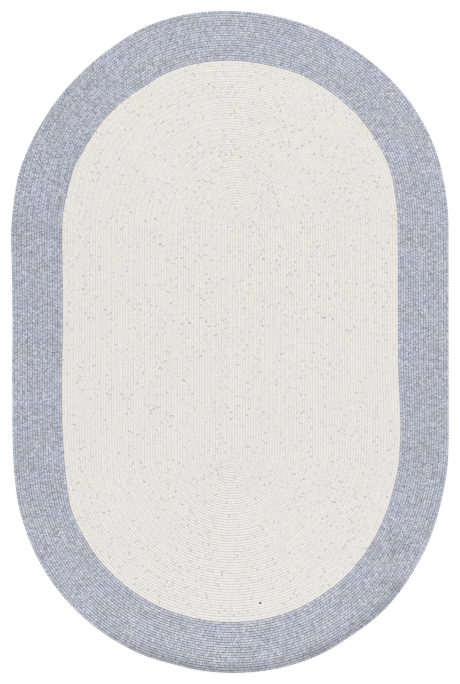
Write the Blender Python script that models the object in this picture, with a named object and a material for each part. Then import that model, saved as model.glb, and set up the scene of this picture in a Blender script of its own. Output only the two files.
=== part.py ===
"""Oval braided rug, lying flat.

Two pieces, each one solid: the cream field, which is one long flat braid coiled
from the middle outwards, and the blue-grey border, whose windings are laced on
round it. Each solid is the sheet that its windings make together, with the rug's
own slightly uneven edge and colour line.

Metres, +Z up. The rug lies on z = 0 with its length along Y, and its middle is
at the origin.
"""

import math

import bmesh
import bpy
from mathutils import Vector

# ---- driving sizes -------------------------------------------------------
FIELD_BRAID = 0.01513       # width of one cream braid
FIELD_WINDINGS = 31         # braids from the middle to the colour line
BORDER_BRAID = 0.01395      # width of one blue-grey braid
BORDER_WINDINGS = 10        # braids from the colour line to the rim
TOP_END_CENTRE_Y = 0.3153   # centre of the round end at +Y
LOW_END_CENTRE_Y = -0.3164  # centre of the round end at -Y
THICKNESS = 0.0090          # a flat three-strand braid, at the crown of its strands
SEAM_GAP = 0.0003           # between the field's last winding and the border's first

LINE_HALF_WIDTH = FIELD_WINDINGS * FIELD_BRAID
HALF_WIDTH = LINE_HALF_WIDTH + BORDER_WINDINGS * BORDER_BRAID

POINTS_AROUND = 168         # points round each closed edge

# How a laced braid's outer side rounds over, from the floor to the top. Columns:
# how far in from the rim, and the height, each as a share of the thickness.
RIM_IN, RIM_UP = 0, 1
RIM = [
    (0.42, 0.00),
    (0.12, 0.17),
    (0.00, 0.45),
    (0.10, 0.78),
    (0.46, 1.00),
]

# Hand lacing leaves the rim and the colour line a little uneven. One row for
# each place where the edge changes direction, counter-clockwise from the foot of
# the right side. Columns: the stretch, the place on it (0 to 1 along a side, or
# degrees from the right round an end), and how far the rim and the colour line
# stand out from their nominal curves there, in millimetres.
STRETCH, PLACE, RIM_MM, LINE_MM = 0, 1, 2, 3
UNEVEN = [
    ("right", 0.00, 0.9, 3.9),
    ("right", 0.15, 2.1, 6.8),
    ("right", 0.40, 2.4, 1.5),
    ("right", 0.80, 1.9, 0.6),
    ("top", 0, 0.7, -1.2),
    ("top", 30, 7.3, 7.6),
    ("top", 55, 1.6, 5.0),
    ("top", 85, -0.7, 1.0),
    ("top", 105, 2.6, 1.6),
    ("top", 135, -7.0, -4.4),
    ("top", 155, -4.0, -5.0),
    ("left", 0.00, 0.7, -1.4),
    ("left", 0.50, -2.0, -2.6),
    ("left", 0.80, -1.7, -0.7),
    ("low", 180, -2.8, -5.6),
    ("low", 150, 1.0, -2.3),
    ("low", 125, 0.9, -2.0),
    ("low", 105, -2.6, -3.1),
    ("low", 75, 2.2, -0.7),
    ("low", 45, 1.4, -1.2),
    ("low", 22, -4.2, -4.0),
]

CREAM = (0.784, 0.760, 0.722, 1.0)
BLUE_GREY = (0.440, 0.462, 0.533, 1.0)


# ---- the stadium that every winding follows ------------------------------
SIDE = TOP_END_CENTRE_Y - LOW_END_CENTRE_Y
END = math.pi * HALF_WIDTH
AROUND = 2 * SIDE + 2 * END


def way_round(stretch, place):
    """Distance round the rim's nominal stadium to a row's place, from the foot of the right side."""
    if stretch == "right":
        return place * SIDE
    if stretch == "top":
        return SIDE + math.radians(place) * HALF_WIDTH
    if stretch == "left":
        return SIDE + END + place * SIDE
    return 2 * SIDE + END + math.radians(180 - place) * HALF_WIDTH


def uneven_mm(way, column):
    """The table's value at a place round the rug, on a smooth closed curve through its rows."""
    rows = [(way_round(r[STRETCH], r[PLACE]), r[column]) for r in UNEVEN]
    n = len(rows)
    way %= AROUND
    i = max(k for k in range(n) if rows[k][0] <= way)
    (s1, v1), (s2, v2) = rows[i], rows[(i + 1) % n]
    (s0, v0), (s3, v3) = rows[i - 1], rows[(i + 2) % n]
    span = (s2 - s1) % AROUND
    slope1 = (v2 - v0) / ((s2 - s0) % AROUND)
    slope2 = (v3 - v1) / ((s3 - s1) % AROUND)
    t = (way - s1) / span
    return (
        v1 * (1 + 2 * t) * (1 - t) ** 2
        + slope1 * span * t * (1 - t) ** 2
        + v2 * t * t * (3 - 2 * t)
        - slope2 * span * t * t * (1 - t)
    )


def on_stadium(way, out):
    """The point that is `out` from the rug's axis line at a place round the rug."""
    way %= AROUND
    if way < SIDE:
        return Vector((out, LOW_END_CENTRE_Y + way))
    way -= SIDE
    if way < END:
        turn = way / HALF_WIDTH
        return Vector((out * math.cos(turn), TOP_END_CENTRE_Y + out * math.sin(turn)))
    way -= END
    if way < SIDE:
        return Vector((-out, TOP_END_CENTRE_Y - way))
    turn = (way - SIDE) / HALF_WIDTH
    return Vector((-out * math.cos(turn), LOW_END_CENTRE_Y - out * math.sin(turn)))


def edge(nominal, column, moved=0.0):
    """A closed uneven edge, as points counter-clockwise."""
    ways = [AROUND * k / POINTS_AROUND for k in range(POINTS_AROUND)]
    return [
        on_stadium(w, nominal + uneven_mm(w, column) / 1000 + moved) for w in ways
    ]


def middle_of(points):
    xs, ys = [p.x for p in points], [p.y for p in points]
    return Vector(((min(xs) + max(xs)) / 2, (min(ys) + max(ys)) / 2))


# ---- solids --------------------------------------------------------------
def material(name, colour, roughness):
    made = bpy.data.materials.new(name)
    made.use_nodes = True
    shader = made.node_tree.nodes["Principled BSDF"]
    shader.inputs["Base Color"].default_value = colour
    shader.inputs["Roughness"].default_value = roughness
    shader.inputs["Metallic"].default_value = 0.0
    made.diffuse_color = colour
    return made


def finished(name, mesh_data, made_of):
    bmesh.ops.recalc_face_normals(mesh_data, faces=mesh_data.faces)
    mesh = bpy.data.meshes.new(name)
    mesh_data.to_mesh(mesh)
    mesh_data.free()
    mesh.materials.append(made_of)
    mesh.shade_smooth()
    mesh.set_sharp_from_angle(angle=math.radians(50))
    piece = bpy.data.objects.new(name, mesh)
    bpy.context.scene.collection.objects.link(piece)
    return piece


def field(centre, made_of):
    """The coiled field: one flat sheet out to the colour line."""
    bm = bmesh.new()
    line = edge(LINE_HALF_WIDTH, LINE_MM, -SEAM_GAP / 2)
    floor = [bm.verts.new((*(p - centre), 0.0)) for p in line]
    base = bm.faces.new(floor)
    grown = bmesh.ops.extrude_face_region(bm, geom=[base])["geom"]
    top = [v for v in grown if isinstance(v, bmesh.types.BMVert)]
    bmesh.ops.translate(bm, verts=top, vec=(0, 0, THICKNESS))
    return finished("field", bm, made_of)


def border(centre, made_of):
    """The border's windings: one flat ring, its outer side rounded as a braid's is."""
    bm = bmesh.new()
    rim = edge(HALF_WIDTH, RIM_MM)
    line = edge(LINE_HALF_WIDTH, LINE_MM, SEAM_GAP / 2)
    sections = []
    for way_out, way_in in zip(rim, line):
        outward = (way_out - way_in).normalized()
        ring = [(way_in, 0.0)]
        for step in RIM:
            ring.append((way_out - outward * step[RIM_IN] * THICKNESS, step[RIM_UP] * THICKNESS))
        ring.append((way_in, THICKNESS))
        sections.append([bm.verts.new((*(p - centre), z)) for p, z in ring])
    for here, ahead in zip(sections, sections[1:] + sections[:1]):
        for k in range(len(here)):
            j = (k + 1) % len(here)
            bm.faces.new((here[k], here[j], ahead[j], ahead[k]))
    return finished("border", bm, made_of)


def main():
    for thing in list(bpy.data.objects):
        bpy.data.objects.remove(thing, do_unlink=True)
    bpy.context.scene.unit_settings.system = "METRIC"
    bpy.context.scene.unit_settings.scale_length = 1.0

    centre = middle_of(edge(HALF_WIDTH, RIM_MM))
    field(centre, material("cream braid", CREAM, 0.9))
    border(centre, material("blue-grey braid", BLUE_GREY, 0.9))


main()
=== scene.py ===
import math

import bpy
import numpy as np
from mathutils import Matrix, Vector


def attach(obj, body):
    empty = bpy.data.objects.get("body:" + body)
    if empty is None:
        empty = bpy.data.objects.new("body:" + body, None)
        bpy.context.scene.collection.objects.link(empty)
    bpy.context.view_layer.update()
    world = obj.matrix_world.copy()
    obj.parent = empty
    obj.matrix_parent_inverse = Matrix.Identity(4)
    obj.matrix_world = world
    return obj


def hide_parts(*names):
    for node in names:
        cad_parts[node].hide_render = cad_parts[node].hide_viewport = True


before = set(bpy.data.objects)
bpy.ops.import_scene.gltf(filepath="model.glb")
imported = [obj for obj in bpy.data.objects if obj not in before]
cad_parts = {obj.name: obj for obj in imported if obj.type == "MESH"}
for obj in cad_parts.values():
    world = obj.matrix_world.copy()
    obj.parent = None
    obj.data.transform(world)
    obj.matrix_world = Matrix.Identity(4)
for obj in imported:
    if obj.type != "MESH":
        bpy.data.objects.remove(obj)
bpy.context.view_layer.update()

# An oval rug of one flat three-strand braid, coiled from the middle outwards and
# laced edge to edge: a cream field, then a heathered blue-grey border.
#
# The braid is laid out once, as rows along its whole length, and cut into bands of
# windings. Across it there are two lobes, each a run of slanting strands that dive
# under at the groove between them. Metres, +Z up.

# ---- the rug's own sizes, as in its solids --------------------------------
FIELD_BRAID = 0.01513
FIELD_WINDINGS = 31
BORDER_BRAID = 0.01395
BORDER_WINDINGS = 10
TOP_END_CENTRE_Y = 0.3153
LOW_END_CENTRE_Y = -0.3164
THICKNESS = 0.0090
WINDINGS = FIELD_WINDINGS + BORDER_WINDINGS
LINE_HALF_WIDTH = FIELD_WINDINGS * FIELD_BRAID
HALF_WIDTH = LINE_HALF_WIDTH + BORDER_WINDINGS * BORDER_BRAID
POINTS_AROUND = 168
SIDE = TOP_END_CENTRE_Y - LOW_END_CENTRE_Y
END = math.pi * HALF_WIDTH
AROUND = 2 * SIDE + 2 * END

# Where the laced edges stray from their nominal curves, counter-clockwise from the
# foot of the right side. Columns: the stretch, the place on it (0 to 1 along a
# side, or degrees from the right round an end), and how far out the rim and the
# colour line stand, in millimetres.
STRETCH, PLACE, RIM_MM, LINE_MM = 0, 1, 2, 3
UNEVEN = [
    ("right", 0.00, 0.9, 3.9),
    ("right", 0.15, 2.1, 6.8),
    ("right", 0.40, 2.4, 1.5),
    ("right", 0.80, 1.9, 0.6),
    ("top", 0, 0.7, -1.2),
    ("top", 30, 7.3, 7.6),
    ("top", 55, 1.6, 5.0),
    ("top", 85, -0.7, 1.0),
    ("top", 105, 2.6, 1.6),
    ("top", 135, -7.0, -4.4),
    ("top", 155, -4.0, -5.0),
    ("left", 0.00, 0.7, -1.4),
    ("left", 0.50, -2.0, -2.6),
    ("left", 0.80, -1.7, -0.7),
    ("low", 180, -2.8, -5.6),
    ("low", 150, 1.0, -2.3),
    ("low", 125, 0.9, -2.0),
    ("low", 105, -2.6, -3.1),
    ("low", 75, 2.2, -0.7),
    ("low", 45, 1.4, -1.2),
    ("low", 22, -4.2, -4.0),
]

# Short kinks in the two edges, which the solids leave out. Columns: the stretch,
# the place on it, half the kink's length in metres, and how far out it takes the
# rim and the colour line, in millimetres.
KINK_HALF, KINK_RIM, KINK_LINE = 2, 3, 4
KINKS = [
    ("right", 0.05, 0.080, 1.0, 1.5),
    ("right", 0.97, 0.060, 1.6, 1.6),
    ("top", 21, 0.045, 1.0, 2.8),
    ("top", 41, 0.025, 0.0, 1.2),
    ("top", 65, 0.020, 0.8, 1.8),
    ("top", 77, 0.045, 0.0, -1.6),
    ("top", 113, 0.050, 2.2, 0.0),
    ("top", 121.5, 0.040, -0.3, -3.6),
    ("top", 141, 0.030, 0.5, 2.0),
    ("top", 149, 0.022, -1.3, 0.0),
    ("top", 158, 0.026, 0.0, 3.4),
    ("top", 164, 0.042, 2.2, 0.0),
    ("top", 175, 0.030, -1.2, 0.6),
    ("left", 0.03, 0.050, 1.6, 1.0),
    ("left", 0.60, 0.050, 1.2, 1.8),
    ("left", 0.92, 0.060, 1.0, 1.4),
    ("low", 174, 0.050, -2.4, -1.7),
    ("low", 160, 0.040, -1.2, 3.4),
    ("low", 143, 0.030, 0.3, 1.4),
    ("low", 114, 0.030, 1.2, 1.3),
    ("low", 104, 0.025, -1.2, 0.3),
    ("low", 85, 0.060, -0.5, -0.8),
    ("low", 56, 0.045, -3.4, -0.9),
    ("low", 24, 0.035, 1.3, 0.0),
    ("low", 10, 0.050, -2.0, -2.0),
]

# ---- the braid ------------------------------------------------------------
BUMP = 0.00886          # along the braid from one strand to the next on one lobe
SLANT = 0.55            # how far on a strand's outer end is, in bumps
ROWS = 4                # rows of points to a bump
START_TOP = (0.0087, 0.0167)    # the coil's first turn, from the nominal end centres
START_LOW = (0.0054, -0.0056)   # this fades out towards the colour line
LOW_LIFT = 0.0022       # how far up the low end's centre lies for the windings half-way out
TAPER_OFF = 0.03        # how much of a shift's slow start and finish is left out, as a share of the width
THINNEST = 0.002        # share of its width at which a braid's end is cut off
PUSH = 0.035            # how far each strand pushes the middle groove over, as a share of the width
LAP = 0.075             # and how far it stands over the next winding

# Each winding moves out by one braid over a stretch of the top end. Columns: the
# distance of the winding from the axis, the middle of that stretch in degrees from
# the right, and half its length, in metres.
SHIFT = [
    (0.000, 92, 0.070),
    (0.129, 100, 0.078),
    (0.419, 157, 0.154),
    (0.620, 157, 0.154),
]

# The points across one lobe, from its side nearer the rug's middle. Columns: the
# place across, the height there of a strand's back, and how far it drops between
# two strands, both as shares of the relief.
ACROSS = [
    (0.00, 0.00, 0.10),
    (0.34, 0.93, 0.42),
    (0.72, 0.97, 0.46),
    (1.00, 0.00, 0.10),
]
# The seven points across a braid: its two lobes share the middle one.
COLUMNS = [(0, *a) for a in ACROSS[:3]] + [(1, *a) for a in ACROSS]
# Relief of a cream and of a blue-grey braid, in metres: down to the groove in the
# middle of the braid, and to the one between two braids.
CREAM_RELIEF = (0.0012, 0.0017)
GREY_RELIEF = (0.0039, 0.0045)

# The rug's outer side, below the last strands' backs. Columns: how far in from the
# rim, how high, how much further in between two strands, in metres, and how much
# further along each strand has got there, in bumps.
RIM_ROUND = [
    (0.0009, 0.0076, 0.0009, 0.06),
    (0.0000, 0.0050, 0.0014, 0.20),
    (0.0006, 0.0023, 0.0013, 0.36),
    (0.0034, 0.0004, 0.0006, 0.50),
]

# Grey slubs, in one cream strand of the three and now and then in the others, in
# trains with quiet stretches between. Columns: the usual chance that a strand shows
# one, how far that swings, and its least and most.
SLUBS = [
    (0.08, 0.12, 0.00, 0.40),
    (0.40, 0.40, 0.06, 0.90),
    (0.08, 0.12, 0.00, 0.40),
]
DARKER = 0.012              # share of the slubs that are much darker
MARK = (0.0840, -0.7287)    # a dark bit of stray fibre

# Broad lighter and darker runs of the border's yarn. Columns: the stretch, the place
# on it, half the run's length in metres, and how much lighter.
RUNS = [
    ("top", 148, 0.42, -1.1),
    ("top", 0, 0.22, 0.5),
    ("low", 120, 0.16, 0.9),
    ("low", 27, 0.13, -0.7),
]
# Soiled places in the border: x, y and radius in metres, and how dark.
SOILED = [
    (0.471, -0.675, 0.011, 0.70),
    (0.437, -0.668, 0.018, 0.35),
    (0.243, -0.860, 0.015, 0.50),
    (-0.592, 0.330, 0.036, 0.30),
    (-0.447, 0.630, 0.024, 0.30),
]


def way_round(stretch, place):
    if stretch == "right":
        return place * SIDE
    if stretch == "top":
        return SIDE + math.radians(place) * HALF_WIDTH
    if stretch == "left":
        return SIDE + END + place * SIDE
    return 2 * SIDE + END + math.radians(180 - place) * HALF_WIDTH


def uneven(way, column):
    """The table's value at places round the rug, in metres."""
    at = np.array([way_round(r[STRETCH], r[PLACE]) for r in UNEVEN])
    mm = np.array([r[column] for r in UNEVEN])
    way = np.mod(way, AROUND)
    i = np.searchsorted(at, way, side="right") - 1
    n = len(at)
    before, after, later = (i - 1) % n, (i + 1) % n, (i + 2) % n
    span = np.mod(at[after] - at[i], AROUND)
    slope1 = (mm[after] - mm[before]) / np.mod(at[after] - at[before], AROUND)
    slope2 = (mm[later] - mm[i]) / np.mod(at[later] - at[i], AROUND)
    t = (way - at[i]) / span
    return (
        mm[i] * (1 + 2 * t) * (1 - t) ** 2
        + slope1 * span * t * (1 - t) ** 2
        + mm[after] * t * t * (3 - 2 * t)
        - slope2 * span * t * t * (1 - t)
    ) / 1000


def kinked(way, column):
    """How far out the kinks take an edge at places round the rug, in metres."""
    total = np.zeros(np.shape(way))
    for kink in KINKS:
        far = np.mod(way - way_round(kink[STRETCH], kink[PLACE]) + AROUND / 2, AROUND) - AROUND / 2
        total += kink[column] * np.exp(-((far / kink[KINK_HALF]) ** 2) / 2)
    return total / 1000


def spot(way, out):
    """x and y of the places `out` from the rug's axis line, at a way round the rug."""
    way = np.mod(way, AROUND)
    near = np.clip(1 - out / LINE_HALF_WIDTH, 0, 1)
    tx, ty = START_TOP[0] * near, TOP_END_CENTRE_Y + START_TOP[1] * near**1.2
    lx = START_LOW[0] * near
    ly = LOW_END_CENTRE_Y + START_LOW[1] * near**3 + LOW_LIFT * 4 * near * (1 - near)
    up = way / SIDE
    top = (way - SIDE) / HALF_WIDTH
    down = (way - SIDE - END) / SIDE
    low = (way - 2 * SIDE - END) / HALF_WIDTH
    stretch = [way < SIDE, way < SIDE + END, way < 2 * SIDE + END]
    x = np.select(
        stretch,
        [lx + out + (tx - lx) * up, tx + out * np.cos(top), tx - out + (lx - tx) * down],
        lx - out * np.cos(low),
    )
    y = np.select(
        stretch,
        [ly + (ty - ly) * up, ty + out * np.sin(top), ty + (ly - ty) * down],
        ly - out * np.sin(low),
    )
    return x, y


def level(way, winding):
    """How far from the axis line a winding number lies."""
    line, rim = uneven(way, LINE_MM), uneven(way, RIM_MM)
    line_kink, rim_kink = kinked(way, KINK_LINE), kinked(way, KINK_RIM)     # felt only near the edges
    plain = winding * FIELD_BRAID
    field = plain + line * (plain / LINE_HALF_WIDTH) ** 2 + line_kink * (plain / LINE_HALF_WIDTH) ** 12
    share = (winding - FIELD_WINDINGS) / BORDER_WINDINGS
    border = (
        LINE_HALF_WIDTH
        + share * BORDER_WINDINGS * BORDER_BRAID
        + line * (1 - share)
        + rim * share
        + line_kink * (1 - share) ** 3
        + rim_kink * share**3
    )
    return np.where(winding < FIELD_WINDINGS, field, border)


def middle_of_rim():
    ways = AROUND * np.arange(POINTS_AROUND) / POINTS_AROUND
    x, y = spot(ways, HALF_WIDTH + uneven(ways, RIM_MM))
    return (x.min() + x.max()) / 2, (y.min() + y.max()) / 2


CENTRE = middle_of_rim()


def way_of(clockwise):
    """Way round, counter-clockwise as in the table, for a clockwise distance from half-way up the left side."""
    return np.mod(SIDE + END + SIDE / 2 - clockwise, AROUND)


def shifted(turn, clockwise):
    """How much of its braid's width a winding has moved out, 0 to 1, at a clockwise distance round."""
    table = np.array(SHIFT)
    at = np.clip((turn + 0.5) * FIELD_BRAID, 0.006, None)
    middle = np.interp(at, table[:, 0], table[:, 1])
    half = np.minimum(np.degrees(np.interp(at, table[:, 0], table[:, 2]) / at), 86)
    here = 180 - np.degrees((clockwise - SIDE / 2) / HALF_WIDTH)
    t = np.clip((middle + half - here) / (2 * half), 0, 1)
    return np.clip((t * t * (3 - 2 * t) - TAPER_OFF) / (1 - 2 * TAPER_OFF), 0, 1)


def smooth_noise(count, step, seed):
    """Values of about -1 to 1 that change over `step` places."""
    knots = np.random.default_rng(seed).normal(0, 1, int(count / step) + 3)
    return np.interp(np.arange(count) / step, np.arange(len(knots)), knots)


class Coil:
    """One braid coiled from winding number `first` out to `last`, its ends tapered away, as rows of points.

    Distances along it are in nominal rounds of the rim ("along") or in metres of its middle line ("length").
    """

    def __init__(self, first, last, relief, seed):
        self.first, self.last = first, last
        self.along, self.length = self.table()
        self.bumps = round(self.length[-1] / BUMP)
        self.pitch = self.length[-1] / self.bumps
        self.rng = np.random.default_rng(seed)
        self.seed = seed
        self.rows(relief)
        self.strands()

    def edges_at(self, along):
        """The winding numbers of the braid's two edges."""
        turn = np.floor(along / AROUND)
        clockwise = along - turn * AROUND
        outer = np.clip(turn + shifted(turn, clockwise), self.first, self.last)
        inner = np.clip(turn - 1 + shifted(turn - 1, clockwise), self.first, self.last)
        return inner, outer

    def place(self, along, across):
        """x and y, from along the spiral and across the braid: 0 at its inner edge, 1 at its outer."""
        inner, outer = self.edges_at(along)
        way = way_of(along)
        # No braid reaches over the axis line, except a little along the sides.
        room = np.minimum(np.mod(way, SIDE + END), SIDE - np.mod(way, SIDE + END))
        winding = np.maximum(inner + (outer - inner) * across, -0.1 * np.clip(room / 0.02, 0, 1))
        x, y = spot(way, level(way, winding))
        return x - CENTRE[0], y - CENTRE[1]

    def table(self):
        """The spiral's places every millimetre or two, and the length of its middle line up to each."""
        parts = []
        for turn in range(self.first, self.last + 1):
            bend = max(24, int(math.pi * (turn + 1) * FIELD_BRAID / 0.0015))
            run = int(SIDE / 0.002)
            marks = [0, SIDE / 2, SIDE / 2 + END, 1.5 * SIDE + END, 1.5 * SIDE + 2 * END, AROUND]
            for k, count in enumerate((run // 2, bend, run, bend, run // 2)):
                parts.append(turn * AROUND + np.linspace(marks[k], marks[k + 1], count, endpoint=False))
        along = np.concatenate(parts)
        inner, outer = self.edges_at(along)
        kept = np.flatnonzero(outer - inner > THINNEST)
        along = along[kept[0] : kept[-1] + 1]
        # In the tightest bends the outer edge counts, so that no strand is stretched there.
        middle, edge = self.place(along, 0.5), self.place(along, 1.0)
        step = [np.hypot(np.diff(x), np.diff(y)) for x, y in (middle, edge)]
        return along, np.concatenate([[0], np.cumsum(np.maximum(step[0], 0.8 * step[1]))])

    def along_at(self, length):
        return np.interp(length, self.length, self.along)

    def bump_at_turn(self, turn):
        if turn <= self.first:
            return 0
        if turn > self.last:
            return self.bumps
        return int(np.interp(turn * AROUND, self.along, self.length) / self.pitch)

    def rows(self, relief):
        """The braid's upper face, a row of points for each quarter of a bump."""
        row = self.row = np.arange(self.bumps * ROWS + 1)
        length = row * self.pitch / ROWS
        ends = np.clip(np.minimum(row, row[-1] - row) / (2 * ROWS), 0, 1)   # no slant at the very ends
        along = self.along_at(length)
        inner, outer = self.edges_at(along)
        thin = np.clip(outer - inner, 0, 1) ** 0.5
        high = self.rng.normal(0, 1, (2, self.bumps + 3))       # how high each strand stands
        aside = self.rng.normal(0, 1, (2, self.bumps + 3))
        shape = (len(row), len(COLUMNS))
        self.x, self.y, self.z = np.empty(shape), np.empty(shape), np.empty(shape)
        for j, (lobe, w, up, drop) in enumerate(COLUMNS):
            q = 1 - w if lobe == 0 else w       # 0 at the groove in the braid's middle, 1 at its edge
            phase = (row + 2 * lobe) % ROWS / ROWS
            bump = (row + 2 * lobe) // ROWS
            back = np.sin(math.pi * phase) ** 0.8   # 0 between two strands, 1 along one's back
            here = self.along_at(length + SLANT * q**0.85 * BUMP * ends)
            across = np.full(len(row), (lobe + w) / 2)
            groove = j in (0, 3, 6)
            if j == 3:
                across += np.where(phase == 0, PUSH, np.where(phase == 0.5, -PUSH, 0))
            elif groove:
                lap = np.clip(LAP * (1 + 0.35 * aside[lobe, bump]), 0, 2 * LAP) * back
                if self.first == FIELD_WINDINGS and lobe == 0:
                    lap *= np.where(inner < FIELD_WINDINGS + 0.01, 0.4, 1)      # over the cream
                if self.last == WINDINGS and lobe == 1:
                    beyond = self.edges_at(here + AROUND)       # the next winding, thin at its end
                    lap *= np.clip(3 * (beyond[1] - beyond[0]), 0, 1)
                lap = np.maximum(lap, 0.06 / (outer - inner) * np.clip(1.5 - row / (4 * ROWS), 0, 1))
                across += lap if lobe else -lap
            else:
                across += 0.012 * aside[lobe, bump]
            self.x[:, j], self.y[:, j] = self.place(here, across)
            deep = relief[0] + (relief[1] - relief[0]) * q
            if j in (0, 6):     # down to the border's own groove where the two colours meet
                at = self.edges_at(here)[lobe]
                meets = np.clip(1 - np.abs(at - FIELD_WINDINGS) / 0.15, 0, 1)
                deep = deep + (GREY_RELIEF[1] - deep) * meets
            rise = up - drop * (1 - back)
            self.z[:, j] = THICKNESS - deep * (1 - rise)
            if not groove:
                self.z[:, j] += 0.00011 * high[lobe, bump] * back
            if j not in (0, 6):
                low = np.where(along < WINDINGS * AROUND, 0.78 * THICKNESS, THICKNESS - relief[1])
                self.z[:, j] = low + (self.z[:, j] - low) * thin

        # The outer side, where no winding lies beyond it: from the tail's end on.
        opens = self.along[-1] - AROUND if self.last == WINDINGS else math.inf
        self.at_rim = along > opens - 1.6 * BUMP
        back = np.sin(math.pi * ((row + 2) % ROWS / ROWS)) ** 0.8
        self.rim = np.empty((len(row), len(RIM_ROUND), 3))
        for k, (inward, height, dip, on) in enumerate(RIM_ROUND):
            here = self.along_at(length + (SLANT + on) * BUMP * ends)
            open_ = np.clip((here - opens) / BUMP, 0, 1)
            rim_x, rim_y = self.place(here, np.ones(len(row)))
            in_x, in_y = self.place(here, np.full(len(row), 0.5))
            inner, outer = self.edges_at(here)
            full = np.minimum(open_, np.clip(outer - inner, 0, 1))
            far = (inward + dip * (1 - back)) * full / np.maximum(np.hypot(rim_x - in_x, rim_y - in_y), 1e-6)
            self.rim[:, k, 0] = rim_x - (rim_x - in_x) * far
            self.rim[:, k, 1] = rim_y - (rim_y - in_y) * far
            self.rim[:, k, 2] = height * (0.6 + 0.4 * full**0.5)
            if k == 0:      # the top of the outer side takes the place of the braid's last column
                for values, made in zip((self.x, self.y, self.z), self.rim[:, 0].T):
                    values[:, 6] = values[:, 6] + (made - values[:, 6]) * open_
        self.rim = self.rim[:, 1:]

    def strands(self):
        """What each strand carries where it shows: slubs, tone, painted shade in the grooves and on the low end's
        outermost braids, and soiling, by lobe and bump.
        """
        n = self.bumps + 3
        index = np.arange(n)
        # Each lobe shows the three strands in turn, the outer lobe one and a half bumps on.
        self.strand_of = np.stack([index % 3, (index + 1) % 3])
        self.fleck = np.zeros((2, n))
        self.fleck_at = self.rng.uniform(0.32, 0.68, (2, n))
        for s in range(3):
            shows = smooth_noise(n, 14, self.seed + 31 + s)
            usual, swing, least, most = SLUBS[s]
            likely = np.clip(usual + swing * shows, least, most)
            for lobe in (0, 1):
                there = (self.strand_of[lobe] == s) & (self.rng.uniform(0, 1, n) < likely)
                strong = np.clip(self.rng.gamma(2.2, 0.083, n), 0.04, 0.44)
                strong = np.where(self.rng.uniform(0, 1, n) < DARKER, 0.20 + strong, strong)
                self.fleck[lobe] = np.where(there, strong, self.fleck[lobe])
        self.fleck[:, :8] = 0

        along = self.along_at(np.minimum(index * self.pitch, self.length[-1]))
        inner, outer = self.edges_at(along)
        x, y = self.place(along, np.full(n, 0.5))
        run = 0.6 * smooth_noise(n, 22, self.seed + 61) + 0.4 * smooth_noise(n, 90, self.seed + 62)
        self.tone = 0.35 * run + self.rng.normal(0, 0.55, (2, n))
        self.tone += 1.7 * np.clip((np.abs(y) - 0.30) / 0.35, 0, 1) - 0.5 * np.clip(-x / 0.5, 0, 1)
        if self.first == 0:
            self.tone += 0.5 * np.clip(x / 0.3, -1.4, 1) * np.clip(y / 0.2 + 1.5, 0, 1)
        else:
            for stretch, place_, half, lighter in RUNS:
                far = np.mod(way_of(along) - way_round(stretch, place_) + AROUND / 2, AROUND) - AROUND / 2
                self.tone += lighter * np.exp(-((far / half) ** 2) / 2)
        top = np.degrees(np.arctan2(y - TOP_END_CENTRE_Y, x))
        low = np.degrees(np.arctan2(LOW_END_CENTRE_Y - y, x))
        self.tone += 0.9 * np.clip(1 - np.abs(top - 68) / 50, 0, 1) + 1.3 * np.clip(1 - np.abs(low - 84) / 50, 0, 1)
        low_end = np.clip((-y - 0.28) / 0.15, 0, 1)
        self.tone += low_end * np.where(inner < FIELD_WINDINGS, 1.1, 0.2)

        # Painted shade in the groove in the braid's middle and in the one between two braids: how much more than
        # usual each gets. Both get more round the ends; the middle one gets less at the top left, round the low end
        # and on the left half, and the one between gets more round the low end.
        deep = 0.48 * np.exp(-(((top - 80) / 36) ** 2) / 2) + 1.15 * np.exp(-(((low - 98) / 36) ** 2) / 2)
        middle_lighter = np.clip((top - 75) / 30, 0, 1) * np.clip((y - 0.1) / 0.2, 0, 1)
        middle_lighter = np.maximum(0.75 * middle_lighter, np.maximum(0.3 * low_end, 0.22 * (x < 0)))
        self.middle = np.stack([deep - middle_lighter] * 2)
        self.between = np.stack([deep + 0.3 * low_end] * 2)

        # Round the low end the outermost braids are darker: painted shade there. The soiled places added below are
        # real dirt.
        angle = np.degrees(np.arctan2(-(y - LOW_END_CENTRE_Y), x))
        shows = np.clip((angle - 33) / 8, 0, 1) * np.clip((126 - angle) / 10, 0, 1)
        lobe_at = np.stack([inner + 0.25, inner + 0.75])
        self.rim_shade_and_soil = shows * np.clip((lobe_at - (WINDINGS - 2.6)) / 1.9, 0, 1)
        for lobe in (0, 1):
            x, y = self.place(along, np.full(n, 0.25 + 0.5 * lobe))
            for spot_x, spot_y, radius, dark in SOILED:
                self.rim_shade_and_soil[lobe] += dark * np.exp(-((x - spot_x) ** 2 + (y - spot_y) ** 2) / radius**2 / 2)


# ---- meshes ---------------------------------------------------------------
def add_map(mesh, name, values):
    layer = mesh.uv_layers.new(name=name, do_init=False)
    layer.uv.foreach_set("vector", np.ascontiguousarray(values, np.float32).ravel())


def add_faces_value(mesh, name, values):
    made = mesh.attributes.new(name, "FLOAT", "FACE")
    made.data.foreach_set("value", np.ascontiguousarray(values, np.float32))


def mesh_of(name, points, faces):
    """A smooth mesh from points (n, 3) and faces, all of one number of corners."""
    mesh = bpy.data.meshes.new(name)
    corners = faces.shape[1]
    mesh.vertices.add(len(points))
    mesh.vertices.foreach_set("co", np.ascontiguousarray(points, np.float32).ravel())
    mesh.loops.add(faces.size)
    mesh.loops.foreach_set("vertex_index", np.ascontiguousarray(faces, np.int32).ravel())
    mesh.polygons.add(len(faces))
    mesh.polygons.foreach_set("loop_start", np.arange(0, faces.size, corners, dtype=np.int32))
    mesh.polygons.foreach_set("loop_total", np.full(len(faces), corners, np.int32))
    mesh.update(calc_edges=True)
    mesh.shade_smooth()
    return mesh


def placed(name, mesh):
    piece = bpy.data.objects.new(name, mesh)
    bpy.context.scene.collection.objects.link(piece)
    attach(piece, "root")
    return piece


STRIP = 44          # bumps in one strip of a band's flat layout
UNDER_STRIP = 160   # and of the underside's


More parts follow.
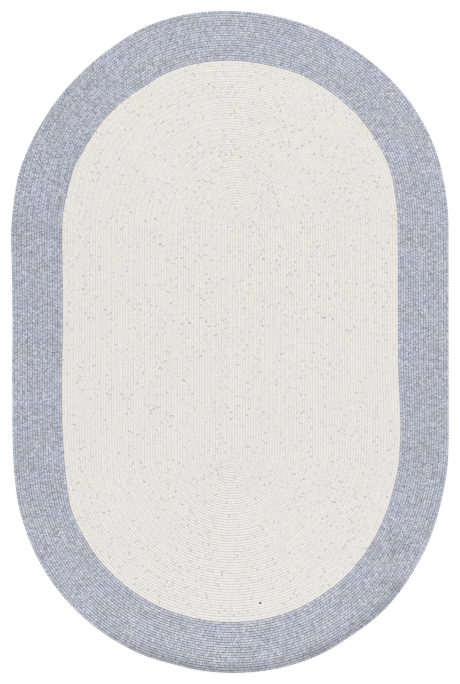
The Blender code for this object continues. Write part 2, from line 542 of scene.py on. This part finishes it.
def face_values(mesh, coils, coil_no, lobe, cell):
    """Writes each face's strand and what it carries."""
    for name in ("fleck", "fleck_at", "tone", "rim_shade_and_soil", "middle", "between"):
        values = np.zeros(len(lobe))
        for k, coil in enumerate(coils):
            mine = coil_no == k
            values[mine] = getattr(coil, name)[lobe[mine], cell[mine]]
        add_faces_value(mesh, name, values)
    add_faces_value(mesh, "strand_no", coil_no * 40000 + cell * 2 + lobe)


def band(name, coil, first, last, made_of):
    """A coil's upper face from one bump to another, with the rug's outer side where it reaches that."""
    r0, r1 = first * ROWS, last * ROWS
    rows = np.arange(r0, r1)            # each face row starts at one of these
    wide, sides = len(COLUMNS), len(RIM_ROUND) - 1
    grid = np.stack([coil.x[r0 : r1 + 1], coil.y[r0 : r1 + 1], coil.z[r0 : r1 + 1]], -1)
    points = np.concatenate([grid.reshape(-1, 3), coil.rim[r0 : r1 + 1].reshape(-1, 3)])
    base = grid.shape[0] * wide

    # Columns 0 to 6 are the braid's own points, and 7 to 9 the rug's outer side.
    def number(row, column):
        return np.where(column < wide, row * wide + column, base + row * sides + column - wide)

    rim = coil.at_rim[rows] & coil.at_rim[rows + 1]
    steps = [(j, j + 1, np.ones(len(rows), bool)) for j in range(wide - 1)]
    steps += [(j, j + 1, rim) for j in range(wide - 1, wide + sides - 1)]
    row_of = np.concatenate([rows[keep] for _, _, keep in steps]) - r0
    one = np.concatenate([np.full(keep.sum(), a) for a, _, keep in steps])
    two = np.concatenate([np.full(keep.sum(), b) for _, b, keep in steps])
    corner_row = np.stack([row_of, row_of + 1, row_of + 1, row_of], -1)[:, ::-1]
    corner_column = np.stack([one, one, two, two], -1)[:, ::-1]
    faces = number(corner_row, corner_column)
    used, faces = np.unique(faces, return_inverse=True)
    mesh = mesh_of(name, points[used], faces.reshape(-1, 4))

    lobe = (one >= 3).astype(int)
    cell = (row_of + r0 + 2 * lobe) // ROWS
    strand_p = (corner_row + r0 + 2 * lobe[:, None]) / ROWS - cell[:, None]
    across = np.array([lobe_ + w for lobe_, w, _, _ in COLUMNS] + [2.12, 2.38, 2.60])[corner_column]
    across = np.where((corner_column == wide - 1) & coil.at_rim[corner_row + r0], 1.87, across)
    strip = row_of // (STRIP * ROWS)
    u = corner_row / (STRIP * ROWS) - strip[:, None]
    v = (strip[:, None] + 0.02 + 0.96 * across / across.max()) / (strip.max() + 1)
    add_map(mesh, "OFBake", np.stack([0.002 + 0.996 * u, 0.001 + 0.998 * v], -1))
    add_map(mesh, "cell", np.stack([strand_p, np.abs(across - 1)], -1))
    mesh.materials.append(made_of)
    face_values(mesh, [coil], np.zeros(len(lobe), int), lobe, cell)
    mesh.update()
    return placed(name, mesh)


def underside(name, coils, materials):
    """The whole rug's lower face: one low bump for each strand that shows there."""
    strips = sum(math.ceil(coil.bumps / UNDER_STRIP) for coil in coils)
    points, faces, flat, cells, facts = [], [], [], [], []
    total = strip_base = 0
    for coil_no, coil in enumerate(coils):
        k = np.arange(coil.bumps + 1)
        for lobe in (0, 1):
            length = np.minimum((k + 0.5 * lobe) * coil.pitch, coil.length[-1])
            # The two lobes reach a little over one another, as their points lie on different chords.
            inner, outer = coil.edges_at(coil.along_at(length))
            lap = 0.04 / (coil.along_at(length) / AROUND + 0.5) / np.maximum(outer - inner, THINNEST)
            near = coil.place(coil.along_at(length), 0.5 + np.minimum(lap, 0.4) * (1 - 2 * lobe))
            at = coil.along_at(np.minimum(length + SLANT * BUMP, coil.length[-1]))
            inner, outer = coil.edges_at(at)
            # Over the next winding's edge, most where the coil is at its tightest. The second
            # winding reaches in over the coil's start as well.
            turns = at / AROUND
            over = (0.001 + 0.12 / (turns + 0.5)) / np.maximum(outer - inner, THINNEST)
            inward = 0.5 * np.clip((turns - 1.03) / 0.03, 0, 1) * np.clip((1.34 - turns) / 0.05, 0, 1)
            edge = coil.place(at, lobe * (1 + over) - (1 - lobe) * inward / np.maximum(outer - inner, 0.2))
            edge_z = np.full(len(k), 0.0021)
            if lobe == 1:
                # a little way up behind the outer side, so that no slit opens between them
                i = np.minimum(k * ROWS + 2, len(coil.row) - 1)
                behind = coil.rim[i, -1] * 0.65 + coil.rim[i, -2] * 0.35
                edge = np.where(coil.at_rim[i], behind[:, :2].T, edge)
                edge_z = np.where(coil.at_rim[i], behind[:, 2] + 0.0003, edge_z)
            half = coil.along_at(np.minimum(length[:-1] + (0.5 + SLANT * 0.5) * BUMP, coil.length[-1]))
            tip = coil.place(half, np.full(len(k) - 1, 0.27 + 0.46 * lobe))
            points += [
                np.stack([*near, np.full(len(k), 0.0018)], -1),
                np.stack([*edge, edge_z], -1),
                np.stack([*tip, np.zeros(len(k) - 1)], -1),
            ]
            m = len(k)
            near_no, edge_no, tip_no = total + k, total + m + k, total + 2 * m + k[:-1]
            total += 3 * m - 1
            strip = k[:-1] // UNDER_STRIP
            u = k[:-1] / UNDER_STRIP - strip
            high = (strip_base + strip + 0.5) / strips
            side = (lobe - 0.5) * 0.94 / strips
            step = 1 / UNDER_STRIP
            corner = {
                "n0": (near_no[:-1], u, high, 0, 0),
                "n1": (near_no[1:], u + step, high, 1, 0),
                "e0": (edge_no[:-1], u, high + side, 0, 1),
                "e1": (edge_no[1:], u + step, high + side, 1, 1),
                "t": (tip_no, u + step / 2, high + side / 2, 0.5, 0.5),
            }
            for a, b in (("n0", "n1"), ("n1", "e1"), ("e1", "e0"), ("e0", "n0")):
                trio = [corner[c] for c in ((a, b, "t") if lobe == 1 else (b, a, "t"))]
                faces.append(np.stack([c[0] for c in trio], -1))
                flat.append(np.stack([np.stack([c[1], c[2]], -1) for c in trio], 1))
                cells.append(np.stack([np.tile([c[3], c[4]], (m - 1, 1)) for c in trio], 1))
                facts.append(np.stack([np.full(m - 1, coil_no), np.full(m - 1, lobe), k[:-1]], -1))
        strip_base += math.ceil(coil.bumps / UNDER_STRIP)
    mesh = mesh_of(name, np.concatenate(points), np.concatenate(faces))
    flat = np.concatenate(flat)
    add_map(mesh, "OFBake", flat * [0.996, 1.0] + [0.002, 0.0])
    add_map(mesh, "cell", np.concatenate(cells))
    coil_no, lobe, cell = np.concatenate(facts).T
    for made_of in materials:
        mesh.materials.append(made_of)
    mesh.polygons.foreach_set("material_index", coil_no.astype(np.int32))
    face_values(mesh, coils, coil_no, lobe, cell)
    mesh.update()
    return placed(name, mesh)


# ---- materials ------------------------------------------------------------
def linear(r, g, b):
    """A linear colour from 0 to 255 values as a screen shows them."""
    return tuple(
        (c / 255 / 12.92 if c / 255 <= 0.04045 else ((c / 255 + 0.055) / 1.055) ** 2.4)
        for c in (r, g, b)
    ) + (1.0,)


class Graph:
    """A material's nodes, made by short calls that return an output socket."""

    def __init__(self, name, viewed):
        self.made = bpy.data.materials.new(name)
        self.made.use_nodes = True
        self.tree = self.made.node_tree
        self.tree.nodes.clear()
        self.made.diffuse_color = viewed

    def node(self, kind, **settings):
        node = self.tree.nodes.new(kind)
        for key, value in settings.items():
            setattr(node, key, value)
        return node

    def put(self, socket, value):
        if isinstance(value, bpy.types.NodeSocket):
            self.tree.links.new(value, socket)
        else:
            socket.default_value = value

    def math(self, operation, *values, clamp=False):
        node = self.node("ShaderNodeMath", operation=operation, use_clamp=clamp)
        for socket, value in zip(node.inputs, values):
            self.put(socket, value)
        return node.outputs[0]

    def math_vector(self, operation, one, two):
        node = self.node("ShaderNodeVectorMath", operation=operation)
        self.put(node.inputs[0], one)
        self.put(node.inputs[1], two)
        return node.outputs["Value" if operation == "DISTANCE" else "Vector"]

    def fit(self, value, low, high, new_low=0.0, new_high=1.0, smooth=True):
        node = self.node(
            "ShaderNodeMapRange", interpolation_type="SMOOTHSTEP" if smooth else "LINEAR"
        )
        for key, v in zip(
            ("Value", "From Min", "From Max", "To Min", "To Max"),
            (value, low, high, new_low, new_high),
        ):
            self.put(node.inputs[key], v)
        return node.outputs["Result"]

    def mix(self, share, one, two, blend="MIX"):
        node = self.node("ShaderNodeMix", data_type="RGBA", blend_type=blend)
        self.put(node.inputs["Factor"], share)
        self.put(node.inputs[6], one)
        self.put(node.inputs[7], two)
        return node.outputs[2]

    def vector(self, x, y, z):
        node = self.node("ShaderNodeCombineXYZ")
        for socket, value in zip(node.inputs, (x, y, z)):
            self.put(socket, value)
        return node.outputs[0]

    def noise(self, at, scale, detail=2.0, rough=0.5):
        node = self.node("ShaderNodeTexNoise", noise_dimensions="3D")
        self.put(node.inputs["Vector"], at)
        self.put(node.inputs["Scale"], scale)
        self.put(node.inputs["Detail"], detail)
        self.put(node.inputs["Roughness"], rough)
        return node.outputs["Fac"]

    def white(self, at):
        node = self.node("ShaderNodeTexWhiteNoise", noise_dimensions="3D")
        self.put(node.inputs["Vector"], at)
        return node.outputs["Value"]

    def value_of(self, name):
        return self.node("ShaderNodeAttribute", attribute_name=name).outputs["Fac"]

    def ramp(self, value, stops):
        node = self.node("ShaderNodeValToRGB")
        while len(node.color_ramp.elements) < len(stops):
            node.color_ramp.elements.new(0.5)
        for element, (at, colour) in zip(node.color_ramp.elements, stops):
            element.position = at
            element.color = colour
        self.put(node.inputs["Fac"], value)
        return node.outputs["Color"]


YARNS = 4       # parallel yarns in one strand


def yarn_parts(g):
    """What both colours share: (place across the strand, place along it, yarn number, its roundness, place on the rug, broad drift)."""
    cell = g.node("ShaderNodeUVMap", uv_map="cell").outputs[0]
    apart = g.node("ShaderNodeSeparateXYZ")
    g.put(apart.inputs[0], cell)
    p, q = apart.outputs[0], apart.outputs[1]
    where = g.node("ShaderNodeTexCoord").outputs["Object"]
    stray = g.math("SUBTRACT", g.noise(where, 260.0, 1.0), 0.5)
    twist = g.math("MULTIPLY", q, 0.55)
    count = g.math("ADD", g.math("MULTIPLY", p, float(YARNS)), g.math("ADD", twist, g.math("MULTIPLY", stray, 0.9)))
    number = g.math("FLOOR", count)
    inside = g.math("FRACT", count)
    off = g.math("SUBTRACT", g.math("MULTIPLY", inside, 2.0), 1.0)
    round_ = g.math("SUBTRACT", 1.0, g.math("MULTIPLY", off, off))
    broad = g.noise(where, 8.0, 5.0, 0.7)
    return p, q, number, round_, where, broad


def grooves(g, value, q, between, middle, more):
    """The value darkened by painted shade towards the grooves on both sides of a strand, as much as the strand
    says.
    """
    between = g.math("MULTIPLY_ADD", g.value_of("between"), -more, between)
    middle = g.math("MULTIPLY_ADD", g.value_of("middle"), -more, middle)
    value = g.math("MULTIPLY", value, g.fit(q, 0.69, 1.00, 1.0, between))
    return g.math("MULTIPLY", value, g.fit(q, 0.0, 0.27, middle, 1.0))


def shader(g, colour, round_, fibres, rough, depth, sheen):
    bsdf = g.node("ShaderNodeBsdfPrincipled")
    out = g.node("ShaderNodeOutputMaterial")
    g.tree.links.new(bsdf.outputs[0], out.inputs[0])
    g.put(bsdf.inputs["Base Color"], colour)
    g.put(bsdf.inputs["Roughness"], rough)
    bsdf.inputs["Specular IOR Level"].default_value = 0.22
    bsdf.inputs["Sheen Weight"].default_value = sheen
    bsdf.inputs["Sheen Roughness"].default_value = 0.6
    high = g.math("ADD", g.math("MULTIPLY", round_, 0.75), g.math("MULTIPLY", fibres, 0.35))
    bump = g.node("ShaderNodeBump")
    bump.inputs["Strength"].default_value = 0.7
    bump.inputs["Distance"].default_value = depth
    g.put(bump.inputs["Height"], high)
    g.put(bsdf.inputs["Normal"], bump.outputs[0])


def cream_material():
    g = Graph("cream_yarn", (0.784, 0.760, 0.722, 1.0))
    p, q, number, round_, where, broad = yarn_parts(g)
    strand = g.value_of("strand_no")
    yarn_id = g.vector(strand, number, 3.0)
    each = g.white(yarn_id)
    fibres = g.noise(g.vector(g.math("MULTIPLY", p, 26.0), g.math("MULTIPLY", q, 5.0), strand), 1.0, 3.0, 0.65)
    # warm and cool runs
    patch = g.noise(where, 26.0, 3.0, 0.6)
    along_rug = g.node("ShaderNodeSeparateXYZ")
    g.put(along_rug.inputs[0], where)
    patch = g.math("ADD", patch, g.math("MULTIPLY", along_rug.outputs[1], 0.07))
    base = g.mix(g.fit(patch, 0.35, 0.65), linear(*CREAM_COOL), linear(*CREAM_WARM))
    value = g.math("ADD", 1.0, g.math("MULTIPLY", g.math("SUBTRACT", each, 0.5), 0.060))
    value = g.math("ADD", value, g.math("MULTIPLY", g.value_of("tone"), 0.010))
    value = g.math("ADD", value, g.math("MULTIPLY", g.math("SUBTRACT", fibres, 0.5), 0.05))
    # painted shade between yarns and down in the grooves
    value = g.math("MULTIPLY", value, g.fit(round_, 0.0, 0.55, 0.93, 1.0))
    value = g.math("MULTIPLY", value, g.math("ADD", 1.0, g.math("MULTIPLY", g.math("SUBTRACT", broad, 0.5), 0.05)))
    value = grooves(g, value, q, 0.83, 0.88, 0.08)
    colour = g.mix(1.0, base, g.vector(value, value, value), "MULTIPLY")
    # the slubs
    off = g.math("ABSOLUTE", g.math("SUBTRACT", p, g.value_of("fleck_at")))
    ragged = g.math("MULTIPLY", g.math("SUBTRACT", fibres, 0.5), 0.16)
    across = g.fit(g.math("ADD", off, ragged), 0.14, 0.34, 1.0, 0.0)
    along = g.math("MULTIPLY", g.fit(q, 0.06, 0.22), g.fit(q, 0.74, 0.96, 1.0, 0.0))
    share = g.math("MULTIPLY", g.math("MULTIPLY", across, along), g.value_of("fleck"), clamp=True)
    colour = g.mix(share, colour, linear(*FLECK))
    # one dark bit of stray fibre
    flat = g.math_vector("MULTIPLY", where, (1.0, 1.0, 0.0))
    far = g.math_vector("DISTANCE", flat, (*MARK, 0.0))
    colour = g.mix(g.fit(far, 0.0019, 0.0041, 1.0, 0.0), colour, linear(92, 80, 74))
    rough = g.fit(fibres, 0.3, 0.7, 0.82, 0.96, smooth=False)
    shader(g, colour, round_, fibres, rough, 0.00045, 0.12)
    return g.made


def grey_material():
    g = Graph("blue_grey_yarn", (0.440, 0.462, 0.533, 1.0))
    p, q, number, round_, where, broad = yarn_parts(g)
    strand = g.value_of("strand_no")
    each = g.white(g.vector(strand, number, 7.0))
    fibres = g.noise(g.vector(g.math("MULTIPLY", p, 26.0), g.math("MULTIPLY", q, 5.0), strand), 1.0, 3.0, 0.65)
    # the heather: each yarn light, middle or dark, changing a little along its length
    drift = g.noise(g.vector(g.math("MULTIPLY", p, 7.0), g.math("MULTIPLY", q, 4.5), strand), 1.0, 1.0, 0.5)
    level_ = g.math("ADD", g.math("MULTIPLY", each, 0.58), g.fit(drift, 0.2, 0.8, -0.05, 0.58, smooth=False))
    level_ = g.math("ADD", level_, g.math("MULTIPLY", g.value_of("tone"), 0.030))
    colour = g.ramp(level_, [(at, linear(v - 4, v, v + 12)) for at, v in HEATHER])
    # cooler and warmer fibres, here and there
    hue = g.noise(where, 20.0, 3.0, 0.65)
    tint = g.mix(g.fit(hue, 0.35, 0.65), (1.012, 0.997, 1.012, 1.0), (0.988, 1.003, 0.988, 1.0))
    colour = g.mix(1.0, colour, tint, "MULTIPLY")
    hue = g.noise(g.math_vector("ADD", where, (3.0, 1.0, 0.0)), 16.0, 3.0, 0.65)
    tint = g.mix(g.fit(hue, 0.35, 0.65), (1.012, 1.0, 0.988, 1.0), (0.988, 1.0, 1.012, 1.0))
    colour = g.mix(1.0, colour, tint, "MULTIPLY")
    value = g.math("ADD", 1.0, g.math("MULTIPLY", g.math("SUBTRACT", fibres, 0.5), 0.10))
    # painted shade between yarns and down in the grooves
    value = g.math("MULTIPLY", value, g.fit(round_, 0.0, 0.55, 0.88, 1.0))
    value = grooves(g, value, q, 0.74, 0.78, 0.20)
    # painted shade on the low end's outermost braids, and darker soiled places
    value = g.math("MULTIPLY", value, g.math("SUBTRACT", 1.0, g.math("MULTIPLY", g.value_of("rim_shade_and_soil"), 0.24)))
    value = g.math("MULTIPLY", value, g.math("ADD", 1.0, g.math("MULTIPLY", g.math("SUBTRACT", broad, 0.5), 0.22)))
    colour = g.mix(1.0, colour, g.vector(value, value, value), "MULTIPLY")
    rough = g.fit(fibres, 0.3, 0.7, 0.80, 0.95, smooth=False)
    shader(g, colour, round_, fibres, rough, 0.00055, 0.12)
    return g.made


CREAM_WARM = (227.1, 223.3, 217.0)
CREAM_COOL = (226.5, 222.8, 220.8)
FLECK = (120, 117, 114)
# The border's heather, dark to light. Columns: place on the scale, and brightness.
HEATHER = [(0.00, 110), (0.22, 151), (0.50, 185), (0.78, 206), (1.00, 231)]

# ---- the rug --------------------------------------------------------------
cream, grey = cream_material(), grey_material()
field_coil = Coil(0, FIELD_WINDINGS, CREAM_RELIEF, 20)
border_coil = Coil(FIELD_WINDINGS, WINDINGS, GREY_RELIEF, 120)

# Bands of windings. Columns: name, first winding, the winding after its last.
FIELD_BANDS = [
    ("field_1", 0, 7),
    ("field_2", 7, 12),
    ("field_3", 12, 16),
    ("field_4", 16, 19),
    ("field_5", 19, 22),
    ("field_6", 22, 25),
    ("field_7", 25, 28),
    ("field_8", 28, 32),
]
BORDER_BANDS = [
    ("border_1", 31, 33),
    ("border_2", 33, 35),
    ("border_3", 35, 37),
    ("border_4", 37, 39),
    ("border_5", 39, 42),
]

for bands, coil, made_of, node, slot in (
    (FIELD_BANDS, field_coil, cream, "field", "cream_braid"),
    (BORDER_BANDS, border_coil, grey, "border", "blue_grey_braid"),
):
    for name, first, after in bands:
        piece = band(name, coil, coil.bump_at_turn(first), coil.bump_at_turn(after), made_of)
        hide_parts(node)
back = underside("underside", [field_coil, border_coil], [cream, grey])
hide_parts("field", "border")

# ---- the floor, the light and the camera ----------------------------------
g = Graph("floor", (0.95, 0.95, 0.95, 1.0))
soft = g.noise(g.node("ShaderNodeTexCoord").outputs["Object"], 0.6, 2.0)
bsdf = g.node("ShaderNodeBsdfPrincipled")
out = g.node("ShaderNodeOutputMaterial")
g.tree.links.new(bsdf.outputs[0], out.inputs[0])
g.put(bsdf.inputs["Base Color"], g.mix(soft, (0.955, 0.955, 0.955, 1.0), (0.965, 0.965, 0.965, 1.0)))
bsdf.inputs["Roughness"].default_value = 0.9
bsdf.inputs["Specular IOR Level"].default_value = 0.1

mesh = bpy.data.meshes.new("floor")
reach = 40.0
mesh.from_pydata(
    [(-reach, -reach, 0), (reach, -reach, 0), (reach, reach, 0), (-reach, reach, 0)], [], [(0, 1, 2, 3)]
)
mesh.materials.append(g.made)
floor = bpy.data.objects.new("floor", mesh)
bpy.context.scene.collection.objects.link(floor)

world = bpy.data.worlds.new("studio")
world.use_nodes = True
world.node_tree.nodes["Background"].inputs["Color"].default_value = (1.0, 1.0, 1.0, 1.0)
world.node_tree.nodes["Background"].inputs["Strength"].default_value = 0.70
bpy.context.scene.world = world

lamp = bpy.data.lights.new("window", "SUN")
lamp.energy = 1.37
lamp.angle = math.radians(24)
lamp_object = bpy.data.objects.new("window", lamp)
lamp_object.rotation_euler = Vector((0.0, 0.2, 1.0)).to_track_quat("Z", "Y").to_euler()
bpy.context.scene.collection.objects.link(lamp_object)

scene = bpy.context.scene
scene.view_settings.view_transform = "Standard"
scene.view_settings.look = "None"
scene.view_settings.exposure = 0.0
scene.view_settings.gamma = 1.0
scene.cycles.filter_width = 1.0

HEIGHT = 6.0
PIXEL = 0.0027924       # metres to a pixel, at the rug's widest height
LONG_SIDE = 684
camera = bpy.data.cameras.new("camera")
camera.sensor_width = 36.0
camera.lens = 36.0 * (HEIGHT - 0.0047) / (LONG_SIDE * PIXEL)
camera.clip_start, camera.clip_end = 0.1, 100.0
eye = bpy.data.objects.new("camera", camera)
eye.location = (-0.00036, -0.00020, HEIGHT)
bpy.context.scene.collection.objects.link(eye)
bpy.context.scene.camera = eye
